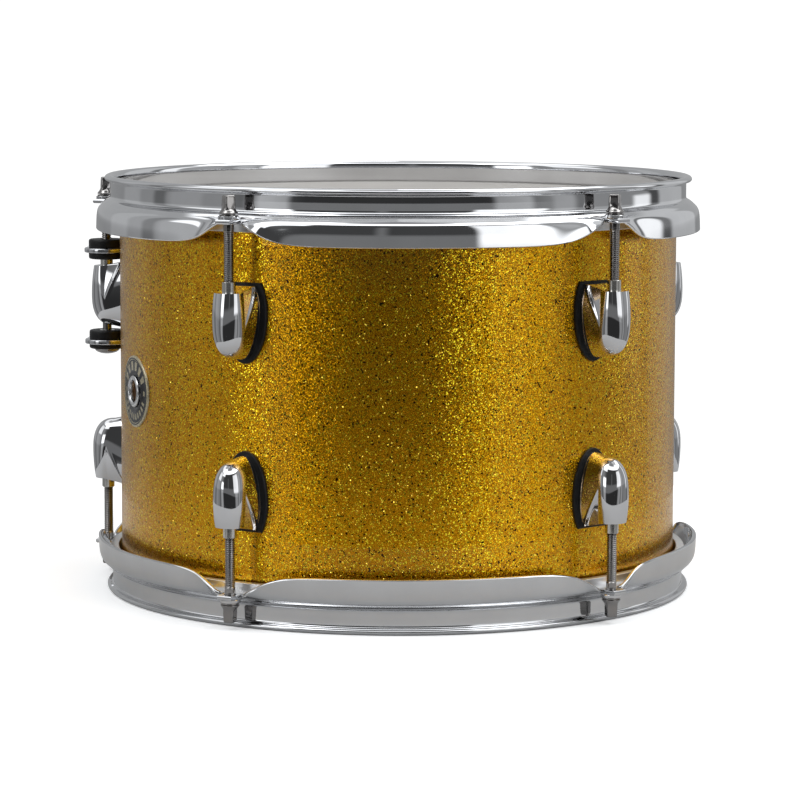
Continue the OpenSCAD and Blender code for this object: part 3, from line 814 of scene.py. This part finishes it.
wrap_line = WRAP_EDGE + [
    (WRAP_R, lerp(-WRAP_HALF, WRAP_HALF, k / WRAP_ROWS)) for k in range(1, WRAP_ROWS)
] + [(r, -z) for r, z in WRAP_EDGE[::-1]]
wrap = piece("sparkle_covering", turned(wrap_line, 1, 360), "gold_sparkle", "drum", "sparkle_wrap")
badge_turn = math.radians(BADGE_ANGLE)
badge_out = Vector((math.sin(badge_turn), -math.cos(badge_turn), 0))
vent_start = badge_out * 148
cut(wrap, [plug((vent_start.x, vent_start.y, MID), badge_out, VENT_R, 10)])

for end, side in ENDS:
    piece(end + "_head_film", turned(FILM_LINE, side, 240), "coated_film", "drum", end + "_film")

# ---------------------------------------------------------------- badge and vent

# Radii, and heights above the covering
BADGE_PROFILE = [(7.3, 0.03), (7.3, 0.75), (7.6, 0.9), (10.0, 0.9), (10.2, 1.0), (10.9, 1.0),
                 (11.1, 0.9), (17.2, 0.9), (17.5, 1.15), (18.6, 1.15), (19.05, 0.95), (19.25, 0.6),
                 (19.25, 0.03)]
EYELET_PROFILE = [(6.0, -1.0), (6.0, 1.2), (6.25, 1.75), (6.9, 2.1), (7.7, 1.95), (8.35, 1.5),
                  (8.5, 1.2), (7.1, 1.2), (6.85, 1.0), (6.85, -1.0)]
BADGE_STEPS = 96

across = Vector((math.cos(badge_turn), math.sin(badge_turn), 0))
badge_frame = Matrix((
    (across.x, 0, badge_out.x, badge_out.x * WRAP_R * MM),
    (across.y, 0, badge_out.y, badge_out.y * WRAP_R * MM),
    (0, 1, 0, MID * MM),
    (0, 0, 0, 1),
))


def curved_disc(profile):
    """Rings of (radius, height above the covering), laid on the shell's curve."""
    verts = []
    for i in range(BADGE_STEPS):
        a = 2 * math.pi * i / BADGE_STEPS
        for r, h in profile:
            x, y = r * math.cos(a), r * math.sin(a)
            verts.append((x, y, math.sqrt((WRAP_R + h) ** 2 - x * x) - WRAP_R))
    return verts, grid_faces(BADGE_STEPS, len(profile), True, True)


for name, part, finish, node in (
    ("badge_plate", curved_disc(BADGE_PROFILE), "badge_enamel", "badge"),
    ("vent_eyelet_steel", lathe(EYELET_PROFILE, 64), "plated_steel", "vent_eyelet"),
):
    piece(name, part, finish, "drum", node, origin=badge_frame)

# ---------------------------------------------------------------- suspension mount

PLATE_T = 2.6
# Lowest and highest point, height of the tab's underside and radius of the hole
GROMMETS = {"upper": (63.9, 75.1, 67.6, 3.75), "lower": (13.3, 23.8, 16.1, 4.35)}
# A dome screw's shank and the flat under its head, from the top down
SCREW_LINE = [(0.01, 34.1), (2.2, 34.1), (2.5, 33.8), (2.5, 13.3), (6.8, 13.3)]
SCREW_HEAD_R = 7.0
SCREW_HEAD_Z = 13.1
SCREW_HEAD_H = 2.9
SOCKET_R = 2.3


def grommet_mesh(low, high, tab, hole):
    """A rubber ring with rounded discs above and below the groove that the plate's tab sits in."""
    face = [(hole, 0.25), (hole + 0.25, 0), (8.9, 0), (9.55, 0.2), (9.9, 0.7), (10.0, 1.3)]
    groove = [(10.0, 0.5), (9.85, 0.12), (9.5, 0.02), (6.2, 0.02)]
    lower = [(r, low + z) for r, z in face] + [(r, tab - z) for r, z in groove]
    upper = [(r, high - z) for r, z in face] + [(r, tab + PLATE_T + z) for r, z in groove]
    return lathe(lower + upper[::-1], 64)


def dome_screw_mesh():
    """A dome-headed screw standing upright, its head at the bottom."""
    turns = [math.pi / 2 * k / 10 for k in range(10)]
    dome = [(SCREW_HEAD_R * math.cos(t), SCREW_HEAD_Z - SCREW_HEAD_H * math.sin(t)) for t in turns]
    return lathe(SCREW_LINE + dome + [(0.01, SCREW_HEAD_Z - SCREW_HEAD_H)], 64)


for name, sizes in GROMMETS.items():
    rubbers = joined([at_rod(grommet_mesh(*sizes), i, 1) for i in MOUNT_LUGS])
    piece(name + "_rubbers", rubbers, "black_rubber", "drum", name + "_grommets")
screw_parts = joined([at_rod(dome_screw_mesh(), i, 1) for i in MOUNT_LUGS])
screws = piece("dome_screws", screw_parts, "rod_chrome", "drum", "lower_screws")
cut(screws, [plug(rod_point(i, 1, 8), (0, 0, 1), SOCKET_R, 4, 6) for i in MOUNT_LUGS])

# ---------------------------------------------------------------- kept CAD nodes


def smoothing_group():
    """Geometry nodes that shade a mesh smooth but for its sharp edges."""
    group = bpy.data.node_groups.new("smooth_shading", "GeometryNodeTree")
    for way in ("INPUT", "OUTPUT"):
        group.interface.new_socket("Geometry", in_out=way, socket_type="NodeSocketGeometry")
    add = group.nodes.new
    source, result = add("NodeGroupInput"), add("NodeGroupOutput")
    faces, edges = add("GeometryNodeSetShadeSmooth"), add("GeometryNodeSetShadeSmooth")
    edges.domain = "EDGE"
    edges.inputs["Shade Smooth"].default_value = False
    angle, sharp = add("GeometryNodeInputMeshEdgeAngle"), add("FunctionNodeCompare")
    sharp.operation = "GREATER_THAN"
    sharp.inputs[1].default_value = math.radians(35)
    for a, b in ((source.outputs[0], faces.inputs[0]), (faces.outputs[0], edges.inputs[0]),
                 (angle.outputs[0], sharp.inputs[0]), (sharp.outputs[0], edges.inputs["Selection"]),
                 (edges.outputs[0], result.inputs[0])):
        group.links.new(a, b)
    return group


SMOOTHING = smoothing_group()
# What each kept CAD node is made of, and how far its edges are rounded in millimetres
CAD_LOOKS = {
    "shell": ("maple_ply", 0),
    "vent_eyelet_ring": ("plated_steel", 0.12),
    "batter_flesh_hoop": ("flesh_hoop", 0.25),
    "resonant_flesh_hoop": ("flesh_hoop", 0.25),
    "batter_nut_retainers": ("nylon", 0.25),
    "resonant_nut_retainers": ("nylon", 0.25),
    "batter_lug_screws": ("plated_steel", 0.15),
    "resonant_lug_screws": ("plated_steel", 0.15),
    "batter_lug_washers": ("plated_steel", 0.12),
    "resonant_lug_washers": ("plated_steel", 0.12),
    "suspension_plate": ("plate_chrome", 0.55),
    "lower_sleeves": ("plated_steel", 0.2),
    "clamp_body": ("clamp_chrome", 1.0),
    "clamp_bolts": ("plated_steel", 0.3),
    "clamp_eyebolt": ("plated_steel", 0.5),
    "clamp_washer": ("plated_steel", 0.2),
    "clamp_wing_nut": ("clamp_chrome", 0.7),
}
for node, (finish, width) in CAD_LOOKS.items():
    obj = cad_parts[node]
    obj.data.materials.clear()
    obj.data.materials.append(MATERIALS[finish])
    obj.modifiers.new("weld", "WELD").merge_threshold = 1e-6
    if width:
        round_edges(obj, width, 3)
    obj.modifiers.new("smooth", "NODES").node_group = SMOOTHING

# ---------------------------------------------------------------- floor

FLOOR_R = 0.42
floor_mesh = bpy.data.meshes.new("floor")
turns = [math.radians(k) for k in range(0, 360, 3)]
rim = [(FLOOR_R * math.cos(a), FLOOR_R * math.sin(a), 0) for a in turns]
floor_mesh.from_pydata(rim, [], [tuple(range(len(rim)))])
floor = add_object("floor", floor_mesh)
# The floor looks as pale as the backdrop, but reflects as a mid grey
pale = Nodes("pale_floor")
seen = pale.add("ShaderNodeLightPath").outputs["Is Camera Ray"]
white = pale.mix(pale.noise(3, 4), (0.94, 0.94, 0.94), (0.97, 0.97, 0.97))
pale.set(Base_Color=pale.mix(seen, (0.52, 0.52, 0.52), white), Roughness=0.9)
pale.set(Emission_Color=(1, 1, 1, 1), Emission_Strength=pale.math("MULTIPLY", seen, 0.3))
floor_mesh.materials.append(pale.data)

# ---------------------------------------------------------------- light

# Soft upright panels round the drum: azimuth in degrees from the front towards +X, half width,
# lowest elevation, highest elevation and strength. A strength below 0 is a darker strip of wall.
PANELS = [
    (-50, 8, 0.5, 16, 2.2),
    (-50, 7, -45, 0.5, 0.32),
    (-6, 2, 4, 30, 0.12),
    (-84, 14, 16, 40, 0.9),
    (-52, 14, 34, 70, 1.5),
    (45, 15, -1.5, 38, 1.25),
    (46, 8, -45, -1.5, 0.28),
    (52, 14, 45, 70, 1.0),
    (68, 5, -45, 30, 0.12),
    (112, 6, -6, 45, 0.8),
    (140, 14, -40, 35, 0.2),
    (77, 3, -45, 30, -0.1),
    (121, 4, -45, 35, -0.2),
    (-66, 4, -45, 30, -0.12),
    (-92, 9, -45, 30, 0.06),
    (-108, 4, -45, 35, -0.14),
    (-131, 8, -45, 35, 0.08),
]
DEGREES = 180 / math.pi
room = Nodes("studio", world=True)


def fade(value, lo, hi, to_lo=0, to_hi=1):
    """A smooth change from one level to another between two angles."""
    return room.remap(value, lo, hi, to_lo, to_hi, smooth=True)


def times(a, b):
    return room.math("MULTIPLY", a, b)


def plus(a, b):
    return room.math("ADD", a, b)


dx, dy, dz = room.xyz(room.coords)
azimuth = times(room.math("ARCTAN2", dx, times(dy, -1.0)), DEGREES)
elevation = times(room.math("ARCSINE", dz), DEGREES)
off_front = room.math("ABSOLUTE", azimuth)
side_on = fade(off_front, 35, 70)
# A dim wall over the ground. In front, the ground is dark but for a grey band at the horizon, which
# the hoops' walls mirror, and the wall begins above that band.
wall = room.math("MULTIPLY_ADD", side_on, 0.35, 0.06)
ground = room.mix(side_on, fade(elevation, -5.2, -4.2, 0.035, 0.20), (0.28, 0.28, 0.28))
on_wall = room.mix(side_on, fade(elevation, 2, 6), fade(elevation, -3, 0.5))
glow = plus(times(wall, on_wall), times(ground, room.math("SUBTRACT", 1.0, on_wall)))
# A wide soft light overhead, weaker towards the front and the back left
facing = times(fade(off_front, 15, 40, 0.7, 1), fade(azimuth, -95, -65, 0.35, 1))
overhead = times(fade(elevation, 43, 48, 0, 3.1), facing)
glow = plus(glow, times(overhead, fade(elevation, 58, 66, 1, 0.12)))
for middle, half, low, high, strength in PANELS:
    off = room.math("ABSOLUTE", room.math("SUBTRACT", azimuth, float(middle)))
    wide = fade(off, half - 2, half + 2, 1, 0)
    tall = times(fade(elevation, low - 1.5, low + 1.5), fade(elevation, high - 3, high + 3, 1, 0))
    glow = room.math("MULTIPLY_ADD", times(wide, tall), strength, glow)
room.link(glow, room.shader.inputs[1])
room.shader.inputs[0].default_value = (0.97, 0.985, 1.0, 1)

# Behind the drum, the camera sees a plain white backdrop
backdrop = room.add("ShaderNodeBackground")
backdrop.inputs[0].default_value = (1, 1, 1, 1)
backdrop.inputs[1].default_value = 1.1
path = room.add("ShaderNodeLightPath")
both = room.add("ShaderNodeMixShader")
room.link(path.outputs["Is Camera Ray"], both.inputs[0])
room.link(room.shader.outputs[0], both.inputs[1])
room.link(backdrop.outputs[0], both.inputs[2])
room.link(both.outputs[0], room.out.inputs[0])
bpy.context.scene.world = room.data
bpy.context.scene.view_settings.view_transform = "Standard"

# ---------------------------------------------------------------- camera

# Fitted to the outlines of both rims and to the rods: angles in radians, place in metres
PITCH_DOWN, YAW, ROLL = 0.118, 0.0007, 0.0023
CAMERA_AT = (0.0, -1.7964, 0.31519)
cos_pitch, sin_pitch = math.cos(PITCH_DOWN), math.sin(PITCH_DOWN)
fwd = Vector((math.sin(YAW) * cos_pitch, math.cos(YAW) * cos_pitch, -sin_pitch))
level = Vector((math.cos(YAW), -math.sin(YAW), 0))
upright = level.cross(fwd)
right = level * math.cos(ROLL) + upright * math.sin(ROLL)
up = upright * math.cos(ROLL) - level * math.sin(ROLL)
cam_data = bpy.data.cameras.new("camera")
cam_data.lens = 146.65
cam_data.sensor_width = 36
camera = add_object("camera", cam_data)
camera.matrix_world = Matrix((
    (right.x, up.x, -fwd.x, CAMERA_AT[0]),
    (right.y, up.y, -fwd.y, CAMERA_AT[1]),
    (right.z, up.z, -fwd.z, CAMERA_AT[2]),
    (0, 0, 0, 1),
))
bpy.context.scene.camera = camera
